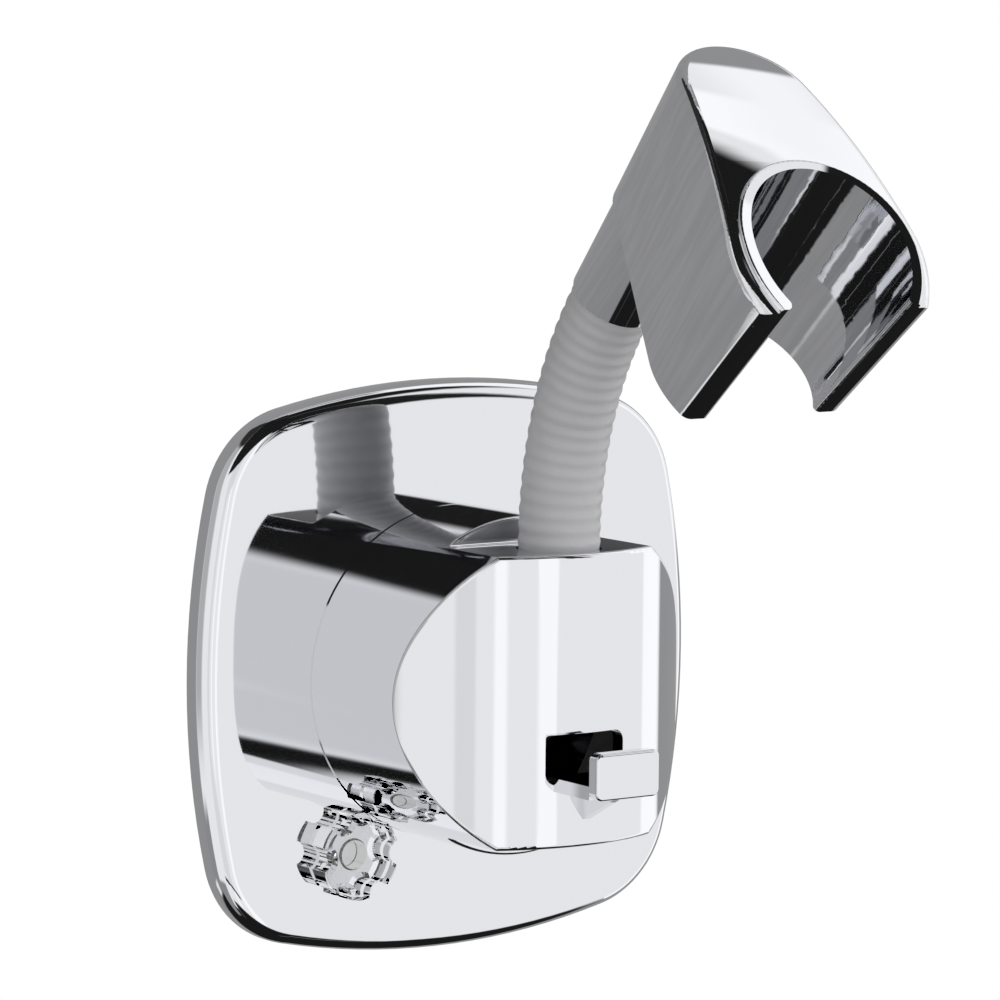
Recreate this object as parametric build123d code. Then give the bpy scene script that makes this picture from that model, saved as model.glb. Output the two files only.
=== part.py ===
from build123d import *
import math
import os

# Hand shower holder: wall plate, drum with a hook, bendable neck and an open clip for the handset.
# Millimetres. +X is to the right of a user who faces the wall, +Y goes into the wall, +Z is up.
# The origin is on the wall, on the drum's axis. "Out" is a distance from the wall, along -Y.

# Wall plate
PLATE_WIDTH = 80.0
PLATE_HEIGHT = 78.6
PLATE_RISE = 0.7
PLATE_BOW = 115.0
PLATE_CORNER = 14.5
PLATE_THICK = 4.0
PLATE_EDGE = 2.6
PLATE_SKIN = 2.0
PLATE_RIM = 2.0

# Drum housing, its out distances taken from the plate's front face
DRUM_R = 23.0
DRUM_REACH = 32.0
DRUM_NOSE_R = 28.4
DRUM_FLAT = 19.5
DRUM_STEP = 16.6
DRUM_WALL = 2.2
DRUM_EDGE = 0.6
DRUM_SEAM = 0.25

# Hook and the window above its strap, in the drum's front
HOOK_WIDTH = 10.1
HOOK_REACH = 9.4
HOOK_TOP = -5.6
HOOK_BOTTOM = -11.8
HOOK_THICK = 1.8
HOOK_CORNER = 1.0
HOOK_EDGE = 0.4
RIB_THICK = 1.2
RIB_DROP = 5.2
WINDOW_TOP = -4.3
WINDOW_GAP = 1.2
WINDOW_CORNER = 1.6
SILL_LAP = 0.8

# Neck: its place behind the drum's front, and two tangent bends up to the clip
NECK_SETBACK = 7.0
NECK_R = 5.5
NECK_LOW_R = 56.0
NECK_LOW_ANGLE = 17.0
NECK_HIGH_R = 50.0
NECK_HIGH_ANGLE = 23.0
RIDGE_COUNT = 18
RIDGE_DEPTH = 0.4
RIDGE_CREST = 1.1
SLEEVE_WALL = 1.0
CORE_R = 3.4
FERRULE_WALL = 0.95

# Socket in the drum for the neck's anchor, with its stud, washer and nut
SOCKET_DEPTH = 9.0
SOCKET_WALL = 1.2
SOCKET_FLOOR = 2.0
ANCHOR_FLANGE = 2.0
ANCHOR_HEIGHT = 7.0
STUD_R = 2.0
STUD_SPARE = 1.0
WASHER_R = 4.5
WASHER_THICK = 0.8
NUT_FLATS = 7.0
NUT_HEIGHT = 3.2

# Clip: tilt of its axis from upright, then sizes along and forward of that axis from the neck's end
CLIP_TILT = 46.0
CLIP_TOP = 40.1
CLIP_BOTTOM = 14.2
CLIP_CROWN_R = 88.0
CLIP_CROWN_AT = 8.0
CLIP_EDGE = 1.2
BACK_AT = 1.0
BACK_R = 10.2
BACK_LOW_AT = -1.6
BACK_LOW_R = 6.2
SEAT_AT = 25.5
SEAT_R = 11.6
SEAT_LOW_R = 9.8
SEAT_WALL = 3.5
LIP_WIDTH = 1.6
LIP_RISE = 0.7
LIP_EDGE = 0.4
JAW_AT = 33.5
JAW_LOW_AT = 31.4
JAW_EDGE = 1.5
JAW_INNER_EDGE = 0.7
COLLAR_R = 5.8
COLLAR_LENGTH = 18.0
COLLAR_SOCKET = 10.0
TIP_CAP = 1.5

# Knob on the plate and the bracket behind it
KNOB_ANGLE = 54.0
KNOB_R = 6.0
KNOB_LOBES = 6
KNOB_FLUTE_R = 1.7
KNOB_FLUTE_DEPTH = 1.4
KNOB_LENGTH = 3.8
KNOB_EDGE = 0.6
STEM_R = 2.0
HUB_R = 15.5
HUB_WALL = 1.8
BRACKET_THICK = 1.6
ARM_WIDTH = 9.0
WALL_HOLE_R = 2.25
WALL_HOLE_SPACING = 18.0

# Screws from the plate's back into the drum's bosses
SCREW_COUNT = 3
SCREW_CIRCLE_R = 18.2
SCREW_START = 60.0
SCREW_R = 1.35
SCREW_LENGTH = 10.0
SCREW_HEAD_R = 2.6
SCREW_HEAD = 1.6
BOSS_R = 3.0
BOSS_SPARE = 2.0

# Clearances: a bare skin between two forms, a turning or threaded fit, a near fit, and an easy one
SKIN = 0.01
FIT = 0.05
NEAR = 0.2
EASY = 0.4

# Length of a cut that has to pass right through, and how far a tool stands proud of a face
THROUGH = 60.0
PROUD = 2.0

CAVITY = PLATE_THICK - PLATE_SKIN
FERRULE_BORE_R = CORE_R + FIT
FERRULE_R = FERRULE_BORE_R + FERRULE_WALL
NECK_OUT = PLATE_THICK + DRUM_REACH - NECK_SETBACK
NECK_BASE = Pos(0, -NECK_OUT, DRUM_FLAT)
SOCKET_BASE = NECK_BASE * Pos(0, 0, -SOCKET_DEPTH)
KNOB_AT = DRUM_R + NEAR + KNOB_R
KNOB_X = -KNOB_AT * math.cos(math.radians(KNOB_ANGLE))
KNOB_Z = -KNOB_AT * math.sin(math.radians(KNOB_ANGLE))
UPWARDS = (Align.CENTER, Align.CENTER, Align.MIN)
DOWNWARDS = (Align.CENTER, Align.CENTER, Align.MAX)


def facing(out):
    """Sketch plane parallel to the wall: its x is +X, its y is +Z, and it extrudes outwards."""
    return Plane.XZ.offset(out)


def bar(out, length, radius, x=0.0, z=0.0):
    """Round bar square to the wall, starting at a distance out."""
    return extrude(facing(out) * Pos(x, z) * Circle(radius), length)


def screw_spots():
    """Centres of the drum's screws, as x and z."""
    turns = [math.radians(SCREW_START + n * 360 / SCREW_COUNT) for n in range(SCREW_COUNT)]
    return [(SCREW_CIRCLE_R * math.cos(turn), SCREW_CIRCLE_R * math.sin(turn)) for turn in turns]


def bowed_square(inset):
    """Square with bowed sides and round corners, set in by a wall."""
    half_width = PLATE_WIDTH / 2 - inset
    half_height = PLATE_HEIGHT / 2 - inset
    bow = PLATE_BOW - inset
    outline = Rectangle(2 * half_width, 2 * half_height)
    for side in (-1, 1):
        outline &= Pos(side * (half_width - bow), 0) * Circle(bow)
        outline &= Pos(0, side * (half_height - bow)) * Circle(bow)
    return Pos(0, PLATE_RISE) * fillet(outline.vertices(), PLATE_CORNER - inset)


def make_wall_plate():
    plate = extrude(facing(0) * bowed_square(0), PLATE_THICK)
    plate = fillet(plate.faces().sort_by(Axis.Y)[0].edges(), PLATE_EDGE)
    plate -= extrude(facing(0) * bowed_square(PLATE_RIM), CAVITY)
    plate -= bar(0, THROUGH, HUB_R + NEAR)
    plate -= bar(0, THROUGH, STEM_R + NEAR, KNOB_X, KNOB_Z)
    for x, z in screw_spots():
        plate -= bar(0, THROUGH, SCREW_R + NEAR, x, z)
    return plate


def make_wall_bracket():
    """Hub that centres the plate, with an arm that takes the knob's stem."""
    slot = Pos(KNOB_AT / 2, 0) * SlotCenterToCenter(KNOB_AT, ARM_WIDTH)
    arm = Rot(0, 0, 180 + KNOB_ANGLE) * slot
    bracket = extrude(facing(0) * arm, BRACKET_THICK)
    bracket += bar(0, PLATE_THICK - NEAR, HUB_R)
    bracket -= bar(BRACKET_THICK, THROUGH, HUB_R - HUB_WALL)
    bracket -= bar(0, THROUGH, STEM_R + FIT, KNOB_X, KNOB_Z)
    for side in (-1, 1):
        bracket -= bar(0, THROUGH, WALL_HOLE_R, 0, side * WALL_HOLE_SPACING / 2)
    return bracket


def make_drum_screws():
    screws = []
    for x, z in screw_spots():
        head = bar(CAVITY - SCREW_HEAD, SCREW_HEAD, SCREW_HEAD_R, x, z)
        head = fillet(head.faces().sort_by(Axis.Y)[-1].edges(), SCREW_HEAD / 2)
        screws.append(head + bar(CAVITY, SCREW_LENGTH, SCREW_R, x, z))
    return Compound(children=screws)


def drum_form(inset):
    """Drum with an upright round nose and a stepped flat above and below, set in by a wall."""
    radius = DRUM_R - inset
    nose_r = DRUM_NOSE_R - inset
    reach = PLATE_THICK + DRUM_REACH - inset
    shoulder = reach - nose_r + math.sqrt(nose_r**2 - radius**2)
    corners = [(radius, -shoulder), (radius, -PLATE_THICK), (-radius, -PLATE_THICK), (-radius, -shoulder)]
    nose = ThreePointArc(corners[3], (0, -reach), corners[0])
    form = extrude(make_face(Polyline(*corners) + nose), radius, both=True)
    form &= bar(PLATE_THICK, DRUM_REACH, radius)
    step = PLATE_THICK + DRUM_STEP - inset
    for side in (-1, 1):
        above = Pos(0, side * (DRUM_FLAT - inset + radius)) * Rectangle(2 * radius, 2 * radius)
        form -= extrude(facing(step) * above, DRUM_REACH)
    return form


def make_hook():
    """Square tab on a strap, with a sloping rib below."""
    front = PLATE_THICK + DRUM_REACH + HOOK_REACH
    behind_tab = front - HOOK_THICK
    root = PLATE_THICK + DRUM_REACH - DRUM_WALL
    middle = (HOOK_TOP + HOOK_BOTTOM) / 2
    tab_face = Pos(0, middle) * RectangleRounded(HOOK_WIDTH, HOOK_TOP - HOOK_BOTTOM, HOOK_CORNER)
    tab = extrude(facing(behind_tab) * tab_face, HOOK_THICK)
    tab = fillet(tab.faces().sort_by(Axis.Y)[0].edges(), HOOK_EDGE)
    strap_face = Pos(0, HOOK_BOTTOM + HOOK_THICK / 2) * Rectangle(HOOK_WIDTH, HOOK_THICK)
    strap = extrude(facing(root) * strap_face, behind_tab - root)
    rib_corners = [(-root, HOOK_BOTTOM - RIB_DROP), (-root, HOOK_BOTTOM), (-behind_tab, HOOK_BOTTOM)]
    rib_side = make_face(Polyline(*rib_corners, close=True))
    return tab + strap + extrude(Plane.YZ * rib_side, RIB_THICK / 2, both=True)


def make_drum_housing():
    """Hollow drum with screw bosses, the neck's socket, the window and the hook in one moulding."""
    outside = drum_form(0)
    front_edges = outside.edges().filter_by(lambda edge: -edge.center().Y > PLATE_THICK + DRUM_STEP / 2)
    outside = fillet(front_edges, DRUM_EDGE)
    seam = outside.edges().filter_by(lambda edge: abs(edge.center().Y + PLATE_THICK) < SKIN)
    housing = chamfer(seam, DRUM_SEAM) - drum_form(DRUM_WALL)
    for x, z in screw_spots():
        housing += bar(PLATE_THICK, SCREW_LENGTH + BOSS_SPARE - PLATE_SKIN, BOSS_R, x, z)
        housing -= bar(PLATE_THICK, SCREW_LENGTH + NEAR - PLATE_SKIN, SCREW_R + FIT, x, z)
    socket_height = SOCKET_DEPTH + SOCKET_FLOOR - DRUM_WALL / 2
    socket_r = NECK_R + NEAR
    housing += SOCKET_BASE * Pos(0, 0, -SOCKET_FLOOR) * Cylinder(
        socket_r + SOCKET_WALL, socket_height, align=UPWARDS
    )
    housing -= SOCKET_BASE * Cylinder(socket_r, THROUGH, align=UPWARDS)
    housing -= SOCKET_BASE * Cylinder(STUD_R + NEAR, SOCKET_FLOOR, align=DOWNWARDS)
    sill = HOOK_BOTTOM + SILL_LAP
    window = Pos(0, (WINDOW_TOP + sill) / 2) * RectangleRounded(
        HOOK_WIDTH + 2 * WINDOW_GAP, WINDOW_TOP - sill, WINDOW_CORNER
    )
    housing -= extrude(facing(PLATE_THICK + DRUM_REACH - 2 * DRUM_WALL) * window, 2 * DRUM_WALL)
    return housing + make_hook()


def neck_line(below, above):
    """Centre line of the neck: straight in the drum, two tangent bends, straight in the collar."""
    low = Line((0, -below), (0, 0))
    first = JernArc(low @ 1, low % 1, NECK_LOW_R, -NECK_LOW_ANGLE)
    second = JernArc(first @ 1, first % 1, NECK_HIGH_R, -NECK_HIGH_ANGLE)
    runs = [low, first, second]
    if above:
        runs.append(Line(second @ 1, second @ 1 + second % 1 * above))
    side = Plane(origin=NECK_BASE.position, x_dir=(0, -1, 0), z_dir=(-1, 0, 0))
    return Wire([side.from_local_coords(run.edge()) for run in runs])


def neck_plane(line, distance):
    """Plane square to the neck's centre line, a distance from its lower end, with x along +X."""
    point = line.position_at(distance, PositionMode.LENGTH)
    return Plane(origin=point, x_dir=(1, 0, 0), z_dir=line.tangent_at(distance, PositionMode.LENGTH))


def along_neck(line, section):
    """Section swept along the neck's centre line from its lower end."""
    return sweep(neck_plane(line, 0) * section, path=line)


def make_neck_sleeve():
    """Soft ridged sleeve, from the anchor's flange to the collar."""
    below = SOCKET_DEPTH - ANCHOR_FLANGE - FIT
    line = neck_line(below, 0)
    pitch = (line.length - below) / RIDGE_COUNT
    valley_r = NECK_R - RIDGE_DEPTH
    stations = [(0, valley_r), (below, valley_r)]
    for n in range(RIDGE_COUNT):
        middle = below + (n + 0.5) * pitch
        stations += [(middle - RIDGE_CREST / 2, NECK_R), (middle + RIDGE_CREST / 2, NECK_R)]
        stations.append((middle + pitch / 2, valley_r))
    sections = [neck_plane(line, distance) * Circle(radius) for distance, radius in stations]
    return loft(sections, ruled=True) - along_neck(line, Circle(NECK_R - SLEEVE_WALL))


def make_neck_core():
    below = SOCKET_DEPTH - ANCHOR_FLANGE - FIT
    return along_neck(neck_line(below, COLLAR_SOCKET + NEAR - TIP_CAP - FIT), Circle(CORE_R))


def make_neck_anchor():
    """Flanged end of the neck's core, with a stud below."""
    anchor = Cylinder(NECK_R, ANCHOR_FLANGE, align=UPWARDS)
    anchor += Cylinder(FERRULE_R, ANCHOR_HEIGHT, align=UPWARDS)
    anchor -= Pos(0, 0, ANCHOR_FLANGE) * Cylinder(FERRULE_BORE_R, THROUGH, align=UPWARDS)
    stud_length = SOCKET_FLOOR + WASHER_THICK + NUT_HEIGHT + STUD_SPARE
    anchor += Cylinder(STUD_R, stud_length, align=DOWNWARDS)
    return SOCKET_BASE * anchor


def make_anchor_washer():
    washer = Circle(WASHER_R) - Circle(STUD_R + NEAR)
    return SOCKET_BASE * Pos(0, 0, -SOCKET_FLOOR) * extrude(washer, -WASHER_THICK)


def make_anchor_nut():
    nut = RegularPolygon(NUT_FLATS / 2, 6, major_radius=False) - Circle(STUD_R + FIT)
    return SOCKET_BASE * Pos(0, 0, -SOCKET_FLOOR - WASHER_THICK) * extrude(nut, -NUT_HEIGHT)


def collar_frame():
    """Frame at the neck's upper end: x is +X and z runs on along the neck."""
    line = neck_line(SOCKET_DEPTH, 0)
    return neck_plane(line, line.length)


def clip_frame():
    """Frame at the neck's upper end: x is +X, z is the seat's axis, and forward is -y."""
    tilt = math.radians(CLIP_TILT)
    return Plane(
        origin=collar_frame().origin, x_dir=(1, 0, 0), z_dir=(0, -math.sin(tilt), math.cos(tilt))
    )


def make_neck_tip():
    """Cap on the core's upper end, seated in the collar."""
    tip = Cylinder(FERRULE_R, COLLAR_SOCKET, align=UPWARDS)
    tip -= Cylinder(FERRULE_BORE_R, COLLAR_SOCKET - TIP_CAP, align=UPWARDS)
    return collar_frame() * Pos(0, 0, NEAR) * tip


def teardrop(back_at, back_r, seat_r):
    """Outline round the clip's back and its seat, joined by straight sides."""
    lean = math.asin((seat_r - back_r) / (SEAT_AT - back_at))
    touch = [
        (radius * math.cos(lean), radius * math.sin(lean) - at)
        for at, radius in ((back_at, back_r), (SEAT_AT, seat_r))
    ]
    mirrored = [(-x, y) for x, y in touch]
    front = ThreePointArc(touch[1], (0, -SEAT_AT - seat_r), mirrored[1])
    back = ThreePointArc(mirrored[0], (0, back_r - back_at), touch[0])
    return make_face(Line(touch[0], touch[1]) + front + Line(mirrored[1], mirrored[0]) + back)


def crown(rise):
    """Round bar across the clip, whose top is the clip's crowned face raised by a little."""
    place = Pos(0, -CLIP_CROWN_AT, CLIP_TOP - CLIP_CROWN_R)
    return place * Rot(0, 90, 0) * Cylinder(CLIP_CROWN_R + rise, THROUGH)


def clip_taper(low, high, height):
    """Size at a height on the clip, of one that grows evenly from its bottom to its top."""
    return low + (high - low) * (height - CLIP_BOTTOM) / (CLIP_TOP - CLIP_BOTTOM)


def clip_section(height, skin=0.0):
    """Clip's outline at a height, before its seat is bored."""
    outline = teardrop(
        clip_taper(BACK_LOW_AT, BACK_AT, height),
        clip_taper(BACK_LOW_R, BACK_R, height) + skin,
        clip_taper(SEAT_LOW_R, SEAT_R, height) + SEAT_WALL + skin,
    )
    return Pos(0, 0, height) * outline


def jaw_section(height):
    """The same outline, a skin larger, with its round seat cut open between two rounded jaws."""
    jaw_at = clip_taper(JAW_LOW_AT, JAW_AT, height)
    seat = Pos(0, -SEAT_AT, height) * Circle(clip_taper(SEAT_LOW_R, SEAT_R, height))
    ahead = Pos(0, -jaw_at - THROUGH / 2, height) * Rectangle(THROUGH, THROUGH)
    outline = clip_section(height, SKIN) - seat - ahead
    tips = outline.vertices().group_by(Axis.Y)[0].sort_by(lambda tip: abs(tip.X))
    outline = fillet(tips[2:], JAW_EDGE)
    tips = outline.vertices().group_by(Axis.Y)[0].sort_by(lambda tip: abs(tip.X))
    return fillet(tips[:2], JAW_INNER_EDGE)


def make_shower_clip():
    """Tapered clip with a crowned top, a conical open seat with a lip, and a collar for the neck."""
    above = CLIP_TOP + PROUD
    clip = loft([clip_section(CLIP_BOTTOM), clip_section(above)], ruled=True) & crown(0)
    clip = fillet(clip.faces().sort_by(Axis.Z)[-1].edges(), CLIP_EDGE)
    lip = Pos(0, -SEAT_AT, CLIP_TOP) * Cylinder(SEAT_R + LIP_WIDTH, CLIP_TOP - CLIP_BOTTOM)
    lip &= crown(LIP_RISE)
    clip += fillet(lip.faces().sort_by(Axis.Z)[-1].edges(), LIP_EDGE)
    clip &= loft([jaw_section(CLIP_BOTTOM - PROUD), jaw_section(above)], ruled=True)
    collar = Pos(0, 0, NEAR) * Cylinder(COLLAR_R, COLLAR_LENGTH, align=UPWARDS)
    socket = Pos(0, 0, NEAR) * Cylinder(FERRULE_R + FIT, COLLAR_SOCKET, align=UPWARDS)
    return clip_frame() * clip + collar_frame() * collar - collar_frame() * socket


def make_thumb_knob():
    """Fluted clear knob with a stem that runs through the plate into the bracket's arm."""
    outline = Circle(KNOB_R)
    for spot in PolarLocations(KNOB_R - KNOB_FLUTE_DEPTH + KNOB_FLUTE_R, KNOB_LOBES):
        outline -= spot * Circle(KNOB_FLUTE_R)
    back = PLATE_THICK + EASY
    grip = extrude(facing(back) * Pos(KNOB_X, KNOB_Z) * outline, KNOB_LENGTH)
    grip = chamfer(grip.faces().sort_by(Axis.Y)[0].edges(), KNOB_EDGE)
    return grip + bar(EASY, back - EASY, STEM_R, KNOB_X, KNOB_Z)


NODES = {
    "wall_plate": make_wall_plate,
    "wall_bracket": make_wall_bracket,
    "drum_screws": make_drum_screws,
    "drum_housing": make_drum_housing,
    "neck_anchor": make_neck_anchor,
    "anchor_washer": make_anchor_washer,
    "anchor_nut": make_anchor_nut,
    "neck_core": make_neck_core,
    "neck_sleeve": make_neck_sleeve,
    "neck_tip": make_neck_tip,
    "shower_clip": make_shower_clip,
    "thumb_knob": make_thumb_knob,
}

os.makedirs("parts", exist_ok=True)
for name, make in NODES.items():
    export_step(make(), f"parts/{name}.step")
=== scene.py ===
import math

import bpy
from mathutils import Matrix, Vector


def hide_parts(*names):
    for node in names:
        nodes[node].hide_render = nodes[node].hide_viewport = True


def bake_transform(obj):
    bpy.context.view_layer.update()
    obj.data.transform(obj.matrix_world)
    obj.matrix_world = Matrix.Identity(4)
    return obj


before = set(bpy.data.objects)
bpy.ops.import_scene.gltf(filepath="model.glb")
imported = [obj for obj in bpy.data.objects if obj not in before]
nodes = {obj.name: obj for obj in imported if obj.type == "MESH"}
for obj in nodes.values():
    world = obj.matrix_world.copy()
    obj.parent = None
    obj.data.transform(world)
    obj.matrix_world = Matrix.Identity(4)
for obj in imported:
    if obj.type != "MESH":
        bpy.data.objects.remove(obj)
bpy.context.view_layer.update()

# Millimetres, as in the part's source; Blender's own unit is the metre
MM = 0.001

# Camera, fitted to the photograph: degrees round and above the object, then millimetres
CAMERA_AZIMUTH = 34.829
CAMERA_ELEVATION = 6.504
CAMERA_ROLL = 0.531
CAMERA_AIM = (0.0, -4.0, 0.0)
CAMERA_DISTANCE = 669.63
CAMERA_RIGHT = 13.1
CAMERA_UP = 19.372
CAMERA_SENSOR = 36.0
CAMERA_LENS = 175.795
CAMERA_SHIFT = (-0.04886, 0.02962)

# Studio as the chrome sees it. Each card runs from left to right and from low to high in degrees, with 0
# straight out from the wall. Then come the softness of its edges and its brightness, where white is 1.
# A later card covers an earlier one.
STUDIO_WHITE = 0.97
STUDIO_CARDS = (
    # Grey behind at the left and right, paler at the left side
    (-200, -112, -95, 95, 4, 0.32),
    (-112, -74, -14, 95, 6, 0.5),
    (96, 200, -95, -4, 1.5, 0.33),
    (122, 200, -4, 95, 4, 0.33),
    # Bright upright strips, two in front and one at the right
    (-19, -12.5, -95, 95, 1.5, 1.16),
    (4.5, 16.5, -95, 95, 1, 1.16),
    (78, 94, -95, 95, 1.5, 1.18),
    # Pale grey frame at the left of the front, open towards the middle
    (-40, -29, -28, 29.5, 1.5, 0.83),
    (-32, -12, 9, 29.5, 2.5, 0.83),
    (-32, -12, -30, -15, 2.5, 0.83),
    # Black overhead, with a strip that hangs down at the right of the front
    (-60, 38, 29.5, 95, 1.2, 0.012),
    (22, 38, 5, 40, 2.5, 0.015),
    (36, 71, 46, 95, 4, 0.012),
    (-160, -60, 58, 95, 3, 0.03),
    # Grey overhead at the right, and a bright panel between
    (80, 100, 64, 95, 1.5, 0.33),
    (80, 118, 44, 55.5, 5, 1.12),
    (106, 200, 40, 95, 0.8, 0.33),
    # Thin black line below the front
    (-45, -1, -33.3, -30.4, 0.6, 0.01),
    # Low at the left: grey, black further down, and a bright panel
    (-125, -88, -95, -22, 2, 0.3),
    (-200, -55, -95, -37, 2, 0.3),
    (-200, -98, -95, -47, 3, 0.012),
    (-134, -112, -46, -35, 2, 0.9),
    # Black underneath
    (48, 200, -95, -46, 2, 0.012),
    (-45, 48, -95, -50, 2, 0.012),
    (-66, -45, -95, -60, 2, 0.012),
    (-200, 200, -95, -70, 2, 0.012),
)

# Light on the matt pieces: the studio's level in front of the wall and behind it, the directions along Y at
# which it is all behind and all in front, and a broad lamp in millimetres and watts
SOFT_LIGHT = 1.18
SOFT_LIGHT_BEHIND = 0.12
SOFT_LIGHT_TURN = (0.6, -0.4)
LAMP_PLACE = (450.0, -600.0, 500.0)
LAMP_AIM = (0.0, -40.0, 30.0)
LAMP_SIZE = 500.0
LAMP_POWER = 1.2

# Floor, low enough to leave views from below clear
FLOOR_Z = -900.0
FLOOR_SIZE = 6000.0
FLOOR_COLOUR = (0.85, 0.85, 0.85, 1)

# Chrome as it reflects a white card, plain and in the clip's streaks. The streaks' darker tint is a painted
# streaky reflection, and the streaks are also rougher
CHROME_TINT = (0.80, 0.805, 0.83, 1)
PAINTED_STREAK_TINT = (0.72, 0.725, 0.75, 1)
PLAIN_ROUGHNESS = 0.02
STREAK_ROUGHNESS = 0.06
STREAK_WAVES = 900.0
STREAK_STRETCH = (1.0, 1.0, 0.015)
STREAK_EDGES = (0.35, 0.7)

# Clip, as in the part's source: lean of its seat's axis, and the seat in the clip's own leaning frame
CLIP_LEAN = math.radians(46)
INTO_CLIP = (-CLIP_LEAN, 0, 0)
OUT_OF_CLIP = (CLIP_LEAN, 0, 0)
SEAT_MIDDLE = -15.55
SEAT_R = 11.6
LIP_WIDTH = 1.6

# Clip's top: how squarely a face looks up to belong to it, its crown from side to side, per metre, the
# slope of its lip inwards, and how far inside the lip's edge that slope begins and is full
TOP_FACING = (0.85, 0.93)
TOP_CROWN = 9.0
LIP_SLOPE = 0.28
LIP_SLOPE_BEGINS = 0.1
LIP_SLOPE_FULL = 0.4

# Fineness of the noise in the finishes, and of the clouds in their colours
NOISE_DETAIL = 3.0
CLOUD_DETAIL = 4.0

# Neck, as in the part's source: foot on the drum's flat, two bends, and the joints along it
NECK_FOOT = (0.0, -29.0, 19.5)
NECK_LOW_R, NECK_LOW_ANGLE = 56.0, 17.0
NECK_HIGH_R, NECK_HIGH_ANGLE = 50.0, 23.0
NECK_LENGTH = math.radians(NECK_LOW_R * NECK_LOW_ANGLE + NECK_HIGH_R * NECK_HIGH_ANGLE)
NECK_PIVOTS = (NECK_LENGTH / 3, NECK_LENGTH * 2 / 3)

# Sleeve and core: radius, depth and pitch of the rings, wall, and how far each runs on past the neck's ends
NECK_R = 5.5
RIDGE_COUNT = 18
RIDGE_DEPTH = 0.16
SLEEVE_WALL = 0.9
SLEEVE_TAIL = 1.5
CORE_R = 3.4
CORE_DIP = 0.3
CORE_PITCH = 1.6
CORE_WALL = 0.8
CORE_TAIL = 6.0

# Fineness of both tubes, and the angle past which an edge stays sharp
RING_STEPS = 8
TUBE_SIDES = 64
RIM_ANGLE = math.radians(55)


class Value:
    """A socket of a shader tree. Sums and products of values add Math nodes."""

    def __init__(self, tree, socket=None):
        self.tree = tree
        self.socket = socket

    def node(self, kind, settings=None, sockets=None, out=0):
        """Adds a node, sets it up, fills or links its sockets, and gives one of its outputs."""
        made = self.tree.nodes.new(kind)
        for name, setting in (settings or {}).items():
            setattr(made, name, setting)
        for name, value in (sockets or {}).items():
            if isinstance(value, Value):
                self.tree.links.new(value.socket, made.inputs[name])
            else:
                made.inputs[name].default_value = value
        return Value(self.tree, made.outputs[out] if made.outputs else None)

    def maths(self, operation, *values):
        return self.node("ShaderNodeMath", {"operation": operation}, dict(enumerate(values)))

    def __add__(self, other):
        return self.maths("ADD", self, other)

    def __sub__(self, other):
        return self.maths("SUBTRACT", self, other)

    def __rsub__(self, other):
        return self.maths("SUBTRACT", other, self)

    def __mul__(self, other):
        return self.maths("MULTIPLY", self, other)

    __radd__ = __add__
    __rmul__ = __mul__


def between(share, low, high):
    """Low where the share is 0, high where it is 1."""
    return low + (high - low) * share


def ramp_up(value, low, high):
    """0 below low, 1 above high, and a soft step between them. With low over high it runs down."""
    return value.node(
        "ShaderNodeMapRange",
        {"interpolation_type": "SMOOTHSTEP"},
        {"Value": value, "From Min": low, "From Max": high},
    )


def mix_colours(share, first, second):
    return share.node(
        "ShaderNodeMix", {"data_type": "RGBA"}, {0: share, 6: first, 7: second}, out=2
    )


def parts_of(vector):
    """X, Y and Z of a vector."""
    split = vector.node("ShaderNodeSeparateXYZ", None, {0: vector})
    return [Value(vector.tree, part) for part in split.socket.node.outputs]


def bare_tree(owner):
    """Shader tree of a material or a world, with nothing in it."""
    owner.use_nodes = True
    owner.node_tree.nodes.clear()
    return Value(owner.node_tree)


def new_material(name, fixed):
    """A material, its tree to add to, and its shader, with what is the same all over set on it."""
    material = bpy.data.materials.new(name)
    material.use_nodes = True
    shader = material.node_tree.nodes["Principled BSDF"]
    for socket, value in fixed.items():
        shader.inputs[socket].default_value = value
    return material, Value(material.node_tree), shader


def link(value, shader, socket):
    value.tree.links.new(value.socket, shader.inputs[socket])


def wavering(tree, waves, detail=NOISE_DETAIL, stretch=(1.0, 1.0, 1.0), turn=(0.0, 0.0, 0.0)):
    """Noise from 0 to 1 over the piece, in waves per metre, turned and stretched if asked."""
    place = tree.node("ShaderNodeTexCoord", out="Object")
    place = tree.node("ShaderNodeMapping", None, {"Vector": place, "Rotation": turn})
    place = tree.node(
        "ShaderNodeVectorMath", {"operation": "MULTIPLY"}, {0: place, 1: stretch}
    )
    return tree.node(
        "ShaderNodeTexNoise", None, {"Vector": place, "Scale": waves, "Detail": detail}
    )


def clouded(tree, shader, dark, pale, waves):
    """Colour that drifts between two shades."""
    cloud = wavering(tree, waves, CLOUD_DETAIL)
    link(mix_colours(cloud, dark, pale), shader, "Base Color")


def hazed(tree, shader, glossy, dull, waves):
    """Roughness that drifts between two levels."""
    link(between(wavering(tree, waves), glossy, dull), shader, "Roughness")


def grained(tree, shader, depth, waves, detail):
    """Fine relief of a given depth in millimetres."""
    height = wavering(tree, waves, detail)
    bump = tree.node(
        "ShaderNodeBump", None, {"Height": height, "Distance": depth * MM, "Strength": 1.0}
    )
    link(bump, shader, "Normal")


def bright_chrome(name):
    """Bright plating on a moulding, with a faint haze."""
    material, tree, shader = new_material(name, {"Base Color": CHROME_TINT, "Metallic": 1.0})
    hazed(tree, shader, glossy=0.015, dull=0.045, waves=90.0)
    return material


def in_clip(tree, coordinates):
    """Place or direction on the clip, as X, Y and Z of its own leaning frame."""
    vector = tree.node("ShaderNodeTexCoord", out=coordinates)
    return parts_of(
        tree.node("ShaderNodeMapping", None, {"Vector": vector, "Rotation": INTO_CLIP})
    )


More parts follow.
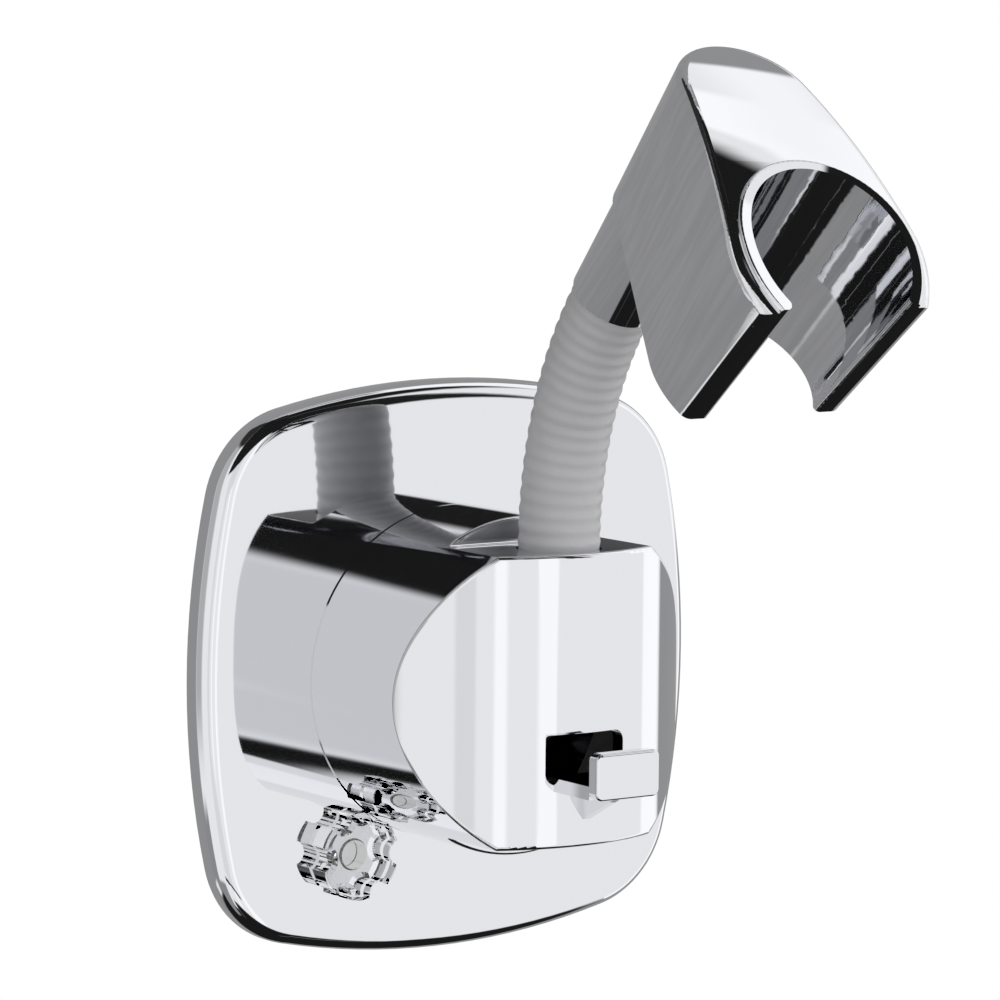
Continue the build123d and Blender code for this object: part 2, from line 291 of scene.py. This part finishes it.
def clip_chrome_painted_streaks(name):
    """Plating of the clip: streaks along it, painted as darker reflections and made rougher, a slightly
    crowned top and a lip that slopes inwards.
    """
    material, tree, shader = new_material(name, {"Metallic": 1.0})
    x, y, _ = in_clip(tree, "Object")
    y = y - SEAT_MIDDLE * MM
    from_axis = tree.maths("SQRT", x * x + y * y)
    across, forward, up = in_clip(tree, "Normal")
    top = ramp_up(up, *TOP_FACING)

    # Streaks off the top: their darker colour is painted reflection, and they are rougher
    painted_and_rough_streaks = wavering(tree, STREAK_WAVES, stretch=STREAK_STRETCH, turn=INTO_CLIP)
    plain = tree.maths("MAXIMUM", ramp_up(painted_and_rough_streaks, *STREAK_EDGES), top)
    # Darker colour in the streaks: painted streaky reflection
    link(mix_colours(plain, PAINTED_STREAK_TINT, CHROME_TINT), shader, "Base Color")
    link(between(plain, STREAK_ROUGHNESS, PLAIN_ROUGHNESS), shader, "Roughness")

    lip_edge = SEAT_R + LIP_WIDTH
    lip = top * ramp_up(
        from_axis, (lip_edge - LIP_SLOPE_BEGINS) * MM, (lip_edge - LIP_SLOPE_FULL) * MM
    )
    slope = lip * tree.maths("DIVIDE", LIP_SLOPE, from_axis)
    across = across + (1.0 - lip) * top * TOP_CROWN * x - slope * x
    forward = forward - slope * y
    tilted = tree.node("ShaderNodeCombineXYZ", None, {0: across, 1: forward, 2: up})
    tilted = tree.node("ShaderNodeMapping", None, {"Vector": tilted, "Rotation": OUT_OF_CLIP})
    tilted = tree.node(
        "ShaderNodeVectorTransform",
        {"vector_type": "NORMAL", "convert_from": "OBJECT", "convert_to": "WORLD"},
        {0: tilted},
    )
    tilted = tree.node("ShaderNodeVectorMath", {"operation": "NORMALIZE"}, {0: tilted})
    link(tilted, shader, "Normal")
    return material


def soft_vinyl(name):
    """Grey vinyl of the sleeve, a little see-through, satin and slightly uneven."""
    material, tree, shader = new_material(
        name,
        {
            "Subsurface Weight": 0.25,
            "Subsurface Radius": (0.002, 0.002, 0.002),
            "Subsurface Scale": 1.0,
        },
    )
    clouded(tree, shader, dark=(0.41, 0.41, 0.42, 1), pale=(0.45, 0.45, 0.46, 1), waves=120.0)
    hazed(tree, shader, glossy=0.32, dull=0.44, waves=900.0)
    grained(tree, shader, depth=0.02, waves=2500.0, detail=2.0)
    return material


def moulded_nylon(name):
    """Off-white nylon with the fine grain of its mould."""
    material, tree, shader = new_material(name, {})
    clouded(tree, shader, dark=(0.70, 0.69, 0.65, 1), pale=(0.78, 0.77, 0.73, 1), waves=150.0)
    hazed(tree, shader, glossy=0.42, dull=0.57, waves=1500.0)
    grained(tree, shader, depth=0.03, waves=4000.0, detail=3.0)
    return material


def turned_steel(name):
    """Zinc plated steel, a little uneven from turning and plating."""
    material, tree, shader = new_material(name, {"Metallic": 1.0})
    clouded(tree, shader, dark=(0.50, 0.51, 0.53, 1), pale=(0.63, 0.63, 0.64, 1), waves=300.0)
    hazed(tree, shader, glossy=0.22, dull=0.42, waves=2500.0)
    return material


def clear_acrylic(name):
    """Clear moulded acrylic with a faint haze."""
    material, tree, shader = new_material(
        name, {"Base Color": (0.97, 0.975, 0.985, 1), "Transmission Weight": 1.0, "IOR": 1.49}
    )
    hazed(tree, shader, glossy=0.005, dull=0.025, waves=400.0)
    return material


def set_material(obj, material):
    obj.data.materials.clear()
    obj.data.materials.append(material)


def dress_nodes(steel):
    """Finishes of the nodes that keep their CAD shape."""
    plating = bright_chrome("bright_chrome")
    set_material(nodes["wall_plate"], plating)
    set_material(nodes["drum_housing"], plating)
    # Clip's chrome, with painted streaky reflections in its colour
    set_material(nodes["shower_clip"], clip_chrome_painted_streaks("clip_chrome_painted_streaks"))
    set_material(nodes["thumb_knob"], clear_acrylic("clear_acrylic"))
    set_material(nodes["wall_bracket"], moulded_nylon("bracket_nylon"))
    for name in ("neck_tip", "neck_anchor", "anchor_washer", "anchor_nut", "drum_screws"):
        set_material(nodes[name], steel)


def neck_at(along):
    """Point on the neck's middle line, in millimetres from its foot, and its lean outwards."""
    x, y, z = NECK_FOOT
    lean = 0.0
    if along < 0:
        return Vector((x, y, z + along)), lean
    for radius, angle in ((NECK_LOW_R, NECK_LOW_ANGLE), (NECK_HIGH_R, NECK_HIGH_ANGLE)):
        turn = min(along / radius, math.radians(angle))
        y -= radius * (math.cos(lean) - math.cos(lean + turn))
        z += radius * (math.sin(lean + turn) - math.sin(lean))
        lean += turn
        along -= radius * turn
    y -= along * math.sin(lean)
    z += along * math.cos(lean)
    return Vector((x, y, z)), lean


def neck_tube(name, ends, radius, dip, pitch, wall):
    """Ringed tube along the neck, drawn out step by step from a circle, then given its wall."""
    first, last = ends
    steps = round((last - first) / pitch * RING_STEPS)
    stations = [first + (last - first) * i / steps for i in range(steps + 1)]

    def ring_radius(along):
        wave = 0.5 + 0.5 * math.cos(2 * math.pi * along / pitch)
        return radius - dip * wave

    place, lean = neck_at(first)
    bpy.ops.mesh.primitive_circle_add(
        vertices=TUBE_SIDES,
        radius=ring_radius(first) * MM,
        location=place * MM,
        rotation=(lean, 0, 0),
    )
    tube = bpy.context.object
    tube.name = tube.data.name = name
    bpy.ops.object.transform_apply()
    bpy.ops.object.mode_set(mode="EDIT")
    for before, along in zip(stations, stations[1:]):
        from_place, from_lean = neck_at(before)
        place, lean = neck_at(along)
        bpy.ops.mesh.extrude_edges_move(
            TRANSFORM_OT_translate={"value": (place - from_place) * MM}
        )
        grow = ring_radius(along) / ring_radius(before)
        bpy.ops.transform.resize(value=(grow, grow, grow), center_override=place * MM)
        if lean != from_lean:
            bpy.ops.transform.rotate(
                value=from_lean - lean, orient_axis="X", center_override=place * MM
            )
    bpy.ops.mesh.select_all(action="SELECT")
    bpy.ops.mesh.normals_make_consistent(inside=False)
    bpy.ops.object.mode_set(mode="OBJECT")
    thick = tube.modifiers.new("wall", "SOLIDIFY")
    thick.thickness = wall * MM
    thick.offset = -1.0
    bpy.ops.object.modifier_apply(modifier=thick.name)
    bpy.ops.object.shade_smooth_by_angle(angle=RIM_ANGLE)
    return tube


def make_neck(steel):
    """Sleeve and core in two lengths each, split midway between the neck's two joints, so that each length
    holds one of them.
    """
    low_pivot, high_pivot = NECK_PIVOTS
    split = (low_pivot + high_pivot) / 2
    reach = split - low_pivot
    ridge_pitch = NECK_LENGTH / RIDGE_COUNT
    top = NECK_LENGTH
    lengths = (
        ("low", "root", "neck", low_pivot, (-SLEEVE_TAIL, split), (-CORE_TAIL, split)),
        ("high", "neck", "clip", high_pivot, (split, top), (split, top + CORE_TAIL)),
    )
    for part, below, above, pivot, sleeve_ends, core_ends in lengths:
        start, end = (neck_at(pivot + side * reach)[0] * MM for side in (-1, 1))
        sleeve = neck_tube(
            "sleeve_" + part, sleeve_ends, NECK_R, RIDGE_DEPTH, ridge_pitch, SLEEVE_WALL
        )
        core = neck_tube("core_" + part, core_ends, CORE_R, CORE_DIP, CORE_PITCH, CORE_WALL)
        set_material(sleeve, soft_vinyl("soft_vinyl_" + part))
        set_material(core, steel)
        for tube, node, slot in ((sleeve, "neck_sleeve", "sleeve_grey"), (core, "neck_core", "steel")):
            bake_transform(tube)
            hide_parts(node)


def make_camera():
    """Camera at the photograph's viewing angle and framing."""
    azimuth, elevation, roll = (
        math.radians(a) for a in (CAMERA_AZIMUTH, CAMERA_ELEVATION, CAMERA_ROLL)
    )
    back = Vector(
        (
            -math.sin(azimuth) * math.cos(elevation),
            -math.cos(azimuth) * math.cos(elevation),
            math.sin(elevation),
        )
    )
    level = Vector((math.cos(azimuth), -math.sin(azimuth), 0))
    upright = back.cross(level)
    right = math.cos(roll) * level + math.sin(roll) * upright
    up = math.cos(roll) * upright - math.sin(roll) * level
    place = (
        Vector(CAMERA_AIM) + CAMERA_DISTANCE * back + CAMERA_RIGHT * right + CAMERA_UP * up
    ) * MM
    data = bpy.data.cameras.new("camera")
    data.sensor_width = CAMERA_SENSOR
    data.lens = CAMERA_LENS
    data.shift_x, data.shift_y = CAMERA_SHIFT
    camera = bpy.data.objects.new("camera", data)
    turn = Matrix((right, up, back)).transposed().to_4x4()
    camera.matrix_world = Matrix.Translation(place) @ turn
    bpy.context.scene.collection.objects.link(camera)
    bpy.context.scene.camera = camera


def make_world():
    """White studio whose cards, bright and dark, are seen only in the chrome and the acrylic."""
    world = bpy.data.worlds.new("studio")
    bpy.context.scene.world = world
    tree = bare_tree(world)
    x, y, z = parts_of(tree.node("ShaderNodeTexCoord", out="Generated"))
    azimuth = tree.maths("DEGREES", tree.maths("ARCTAN2", x, 0.0 - y))
    elevation = tree.maths("DEGREES", tree.maths("ARCSINE", z))
    cards = STUDIO_WHITE
    for left, right, low, high, edge, brightness in STUDIO_CARDS:
        card = (
            ramp_up(azimuth, left - edge, left + edge)
            * ramp_up(azimuth, right + edge, right - edge)
            * ramp_up(elevation, low - edge, low + edge)
            * ramp_up(elevation, high + edge, high - edge)
        )
        cards = between(card, cards, brightness)
    soft = between(ramp_up(y, *SOFT_LIGHT_TURN), SOFT_LIGHT_BEHIND, SOFT_LIGHT)
    shown = tree.node("ShaderNodeLightPath", out="Is Camera Ray")
    mirrored = tree.node("ShaderNodeLightPath", out="Is Glossy Ray")
    seen_through = tree.node("ShaderNodeLightPath", out="Is Transmission Ray")
    level = between(mirrored + seen_through, soft, cards)
    level = between(shown, level, 1.0)
    colour = tree.node("ShaderNodeCombineColor", None, {0: level, 1: level, 2: level})
    sky = tree.node("ShaderNodeBackground", None, {"Color": colour})
    tree.node("ShaderNodeOutputWorld", None, {"Surface": sky})


def make_stage():
    """Pale floor far below the holder, white to the camera like the backdrop."""
    bpy.ops.mesh.primitive_plane_add(size=FLOOR_SIZE * MM, location=(0, 0, FLOOR_Z * MM))
    floor = bpy.context.object
    floor.name = "floor"
    floor.visible_glossy = floor.visible_transmission = False
    material = bpy.data.materials.new("floor_white")
    tree = bare_tree(material)
    shown = tree.node("ShaderNodeLightPath", out="Is Camera Ray")
    matt = tree.node("ShaderNodeBsdfDiffuse", None, {"Color": FLOOR_COLOUR})
    white = tree.node("ShaderNodeEmission", None, {"Color": (1, 1, 1, 1)})
    both = tree.node("ShaderNodeMixShader", None, {0: shown, 1: matt, 2: white})
    tree.node("ShaderNodeOutputMaterial", None, {"Surface": both})
    set_material(floor, material)


def make_lamp():
    """Broad soft lamp at the upper right, which shapes the matt pieces and stays out of the chrome."""
    data = bpy.data.lights.new("soft_lamp", "AREA")
    data.size = LAMP_SIZE * MM
    data.energy = LAMP_POWER
    lamp = bpy.data.objects.new("soft_lamp", data)
    lamp.location = Vector(LAMP_PLACE) * MM
    beam = Vector(LAMP_AIM) * MM - lamp.location
    lamp.rotation_euler = beam.to_track_quat("-Z", "Y").to_euler()
    lamp.visible_glossy = False
    bpy.context.scene.collection.objects.link(lamp)


bpy.ops.object.select_all(action="DESELECT")
steel = turned_steel("steel")
dress_nodes(steel)
make_neck(steel)
make_camera()
make_world()
make_stage()
make_lamp()
bpy.context.scene.view_settings.view_transform = "Standard"

bpy.context.view_layer.update()
